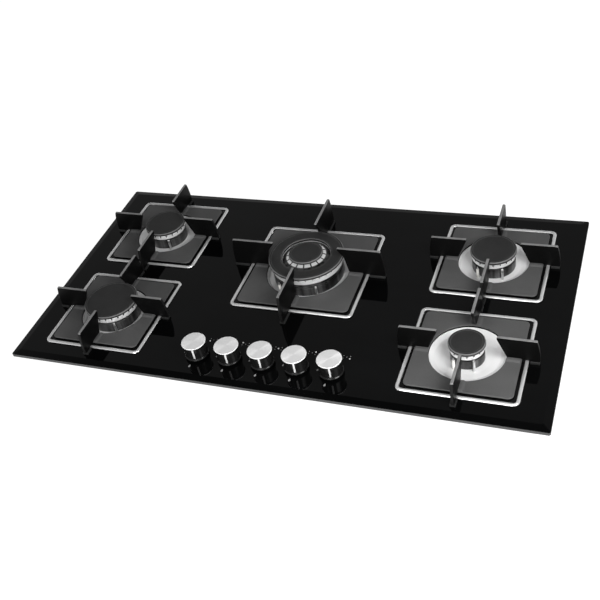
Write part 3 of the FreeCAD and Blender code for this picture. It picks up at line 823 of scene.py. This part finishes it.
# ---------------------------------------------------------------- knobs
def knob_body(name):
    """The moulded body: a foot flange and a straight barrel."""
    node = "knob_" + name
    low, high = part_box(node)
    place = (low + high) / 2
    radius = half_width(node)
    flange = radius + 1.4 * mm
    outline = [
        (0.0, low.z + 1.0 * mm),
        (radius - 3.0 * mm, low.z + 1.0 * mm),
        (radius - 2.0 * mm, low.z),
        (flange, low.z),
        (flange, low.z + 2.0 * mm),
        (radius, low.z + 3.0 * mm),
        (radius - 0.2 * mm, high.z - 1.0 * mm),
        (radius - 1.5 * mm, high.z),
        (0.0, high.z),
    ]
    work = bmesh.new()
    add_lathe(work, soften(outline, 0.6 * mm), place, 144)
    return place_piece(from_bmesh("knob_body_" + name, work), "control_" + name, "knob_plastic", node)


def knob_top(name):
    """The spun disc, with its edge turned down, and the strip that runs down the knob."""
    node = "knob_disc_" + name
    low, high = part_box(node)
    place = middle("spindle_" + name)
    radius = disc_radius
    under = high.z - disc_thickness
    outline = [
        (0.0, under),
        (radius - 0.6 * mm, under),
        (radius, under + 0.4 * mm),
        (radius, high.z - 0.7 * mm),
        (radius - 0.7 * mm, high.z - 0.1 * mm),
        (radius - 1.4 * mm, high.z),
        (0.0, high.z),
    ]
    fine = soften(outline, 0.3 * mm)
    inner = [(radius * (1 - i / 12) * 0.92, high.z) for i in range(1, 12)]
    outline = fine[:-1] + inner + fine[-1:]
    work = bmesh.new()
    add_lathe(work, outline, place, 144)
    disc = from_bmesh("disc_" + name, work)
    ring = disc.data.attributes.new("ring", "FLOAT", "POINT")
    for i, vertex in enumerate(disc.data.vertices):
        ring.data[i].value = math.hypot(vertex.co.x - place.x, vertex.co.y - place.y)
    place_piece(disc, "control_" + name, "spun_aluminium", node)

    half, reach = pointer_half_width, pointer_reach
    work = bmesh.new()
    add_box(work, (reach - pointer_depth, -half, low.z), (reach, half, under + 0.3 * mm))
    bevel_sharp(work, 0.45 * mm, 3)
    turn_about(work.verts, place, pointer_angle)
    strip = from_bmesh("pointer_" + name, work)
    strip.data.materials.append(looks["pointer_aluminium"].material)
    place_piece(strip, "control_" + name, "probe_steel", node)


# ---------------------------------------------------------------- printed marks round the knobs
def add_dot(work, x, y, radius):
    """A small printed dot."""
    place = Vector((x, y, 0))
    outline = [
        (0.0, glass_top),
        (radius, glass_top),
        (radius, glass_top + mark_height),
        (0.0, glass_top + mark_height),
    ]
    add_lathe(work, outline, place, 20)


def add_flame(work, x, y, size):
    """A small printed flame: a drop with a point at the rear."""
    ring = []
    for i in range(24):
        t = full_turn * i / 24
        pinch = 1 - 0.75 * ((1 + math.sin(t)) / 2) ** 2
        ring.append((x + size * 0.5 * math.cos(t) * pinch, y + size * 0.75 * math.sin(t)))
    low = [Vector((a, b, glass_top)) for a, b in ring]
    high = [Vector((a, b, glass_top + mark_height)) for a, b in ring]
    bottom, top = Vector((x, y, glass_top)), Vector((x, y, glass_top + mark_height))
    add_rings(work, [[bottom], low, high, [top]], False)


def printed_marks():
    """By each knob: a small and a large flame, and five dots that say which burner it serves."""
    bright, faint = bmesh.new(), bmesh.new()
    columns = {"left": -1, "centre": 0, "right": 1}
    rows = {"front": -1, "centre": 0, "rear": 1}
    for name, burner in zip(knobs, served):
        place = middle("spindle_" + name)
        for x, y, size in (small_flame, large_flame):
            add_flame(faint, place.x + x, place.y + y, size)
        for other in supports:
            row, column = other.split("_")[0], other.split("_")[-1]
            x = place.x + dot_map_centre[0] + columns[column] * dot_map_step[0]
            y = place.y + dot_map_centre[1] + rows[row] * dot_map_step[1]
            if other == burner:
                add_dot(bright, x, y, chosen_dot_radius)
            else:
                add_dot(faint, x, y, dot_radius)
    bright_piece = from_bmesh("marks_bright", bright)
    faint_piece = from_bmesh("marks_faint", faint)
    for piece, level in ((bright_piece, 0.8), (faint_piece, 0.3)):
        dark, light = grey(level * 0.85), grey(level)
        look = speckled(piece.name + "_print", dark, light, 0.5, 0.0, 1200.0, 0.00001)
        piece.data.materials.append(look.material)
        place_piece(piece, main_body, "white_plastic")


# ---------------------------------------------------------------- igniters
def probes():
    """Rounded ceramic stems with thin metal tips, and the flame sensors."""
    piece = dressed("igniters", "spark_plugs", 0.5 * mm)
    piece.data.materials.append(looks["white_ceramic"].material)
    piece.data.materials.append(looks["probe_steel"].material)
    shoulder = glass_top + ceramic_height
    for polygon in piece.data.polygons:
        polygon.material_index = 1 if polygon.center.z > shoulder + 0.05 * mm else 0
    place_piece(piece, main_body, "white_ceramic", "igniters")
    sensor = dressed("thermocouples", "flame_sensors", 0.6 * mm)
    place_piece(sensor, main_body, "probe_steel", "thermocouples")


# ---------------------------------------------------------------- the object
drip_trays()
for each in supports:
    support_plate(each)
    support_blades(each)
    support_feet(each)
burners()
for each in knobs:
    knob_body(each)
    knob_top(each)
printed_marks()
probes()


# ---------------------------------------------------------------- floor, light and camera
def floor():
    """A white floor that keeps the object's shadow."""
    mesh = bpy.data.meshes.new("floor")
    size = 12.0
    corners = [(-size, -size, 0), (size, -size, 0), (size, size, 0), (-size, size, 0)]
    mesh.from_pydata(corners, [], [(0, 1, 2, 3)])
    obj = bpy.data.objects.new("floor", mesh)
    bpy.context.scene.collection.objects.link(obj)
    look = Look("floor_white", 0.0, 0.9)
    path = look.node("ShaderNodeLightPath")
    seen = look.node("ShaderNodeMath", operation="ADD")
    look.link(path.outputs["Is Camera Ray"], seen.inputs[0])
    look.link(path.outputs["Is Glossy Ray"], seen.inputs[1])
    any_ray = look.node("ShaderNodeMath", operation="ADD", use_clamp=True)
    look.link(seen.outputs[0], any_ray.inputs[0])
    look.link(path.outputs["Is Transmission Ray"], any_ray.inputs[1])
    plain = look.node("ShaderNodeBsdfDiffuse")
    plain.inputs["Color"].default_value = (0.6, 0.6, 0.6, 1)
    shade = look.node("ShaderNodeBsdfDiffuse")
    shade.inputs["Color"].default_value = (0.3, 0.3, 0.3, 1)
    glow = look.node("ShaderNodeEmission")
    glow.inputs["Strength"].default_value = 0.94
    both = look.node("ShaderNodeAddShader")
    look.link(shade.outputs[0], both.inputs[0])
    look.link(glow.outputs[0], both.inputs[1])
    mixed = look.node("ShaderNodeMixShader")
    look.link(any_ray.outputs[0], mixed.inputs[0])
    look.link(plain.outputs[0], mixed.inputs[1])
    look.link(both.outputs[0], mixed.inputs[2])
    output = look.tree.nodes["Material Output"]
    look.link(mixed.outputs[0], output.inputs["Surface"])
    mesh.materials.append(look.material)


def studio_world():
    """A studio that is white near the horizon, grey above it and dark overhead."""
    world = bpy.data.worlds.new("studio")
    bpy.context.scene.world = world
    world.use_nodes = True
    tree = world.node_tree
    place = tree.nodes.new("ShaderNodeTexCoord")
    split = tree.nodes.new("ShaderNodeSeparateXYZ")
    tree.links.new(place.outputs["Generated"], split.inputs[0])
    steps = []
    for start, end, low, high in ((0.06, 0.26, 1.0, 0.34), (0.72, 0.86, 1.0, 0.15)):
        ramp = tree.nodes.new("ShaderNodeMapRange")
        ramp.interpolation_type = "SMOOTHSTEP"
        ramp.inputs["From Min"].default_value = start
        ramp.inputs["From Max"].default_value = end
        ramp.inputs["To Min"].default_value = low
        ramp.inputs["To Max"].default_value = high
        tree.links.new(split.outputs["Z"], ramp.inputs["Value"])
        steps.append(ramp.outputs["Result"])
    level = tree.nodes.new("ShaderNodeMath")
    level.operation = "MULTIPLY"
    tree.links.new(steps[0], level.inputs[0])
    tree.links.new(steps[1], level.inputs[1])
    tree.links.new(level.outputs[0], tree.nodes["Background"].inputs["Strength"])
    tree.nodes["Background"].inputs["Color"].default_value = (1, 1, 1, 1)


def softbox(name, place, target, width, depth, power):
    """A soft rectangular lamp that faces a point."""
    data = bpy.data.lights.new(name, "AREA")
    data.shape = "RECTANGLE"
    data.size, data.size_y = width, depth
    data.energy = power
    lamp = bpy.data.objects.new(name, data)
    lamp.location = place
    lamp.rotation_euler = (Vector(target) - Vector(place)).to_track_quat("-Z", "Y").to_euler()
    bpy.context.scene.collection.objects.link(lamp)


def camera():
    """The camera, at the photograph's viewing angle."""
    data = bpy.data.cameras.new("camera")
    data.lens = 54.46
    data.sensor_width = 36.0
    obj = bpy.data.objects.new("camera", data)
    place = Vector((0.5473, -1.0693, 0.9961 + glass_top))
    target = Vector((0.0097, -0.0333, glass_top))
    roll = math.radians(-12.48)
    ahead = (target - place).normalized()
    level = ahead.cross(Vector((0, 0, 1))).normalized()
    upright = level.cross(ahead)
    right = level * math.cos(roll) + upright * math.sin(roll)
    top = right.cross(ahead)
    turn = obj.rotation_euler.to_matrix()
    for axis, vector in enumerate((right, top, -ahead)):
        turn.col[axis] = vector
    obj.location = place
    obj.rotation_euler = turn.to_euler()
    bpy.context.scene.collection.objects.link(obj)
    bpy.context.scene.camera = obj


floor()
studio_world()
softbox("key_light", (0.75, -0.45, 0.72), (0.27, -0.06, 0), 0.45, 0.35, 7.5)
softbox("top_light", (0.15, -0.62, 1.1), (0.15, -0.4, 0), 1.5, 0.5, 3)
softbox("front_light", (0.05, -1.35, 0.45), (0.1, 0, 0.05), 0.8, 0.3, 9.0)
camera()
bpy.context.scene.view_settings.view_transform = "Standard"
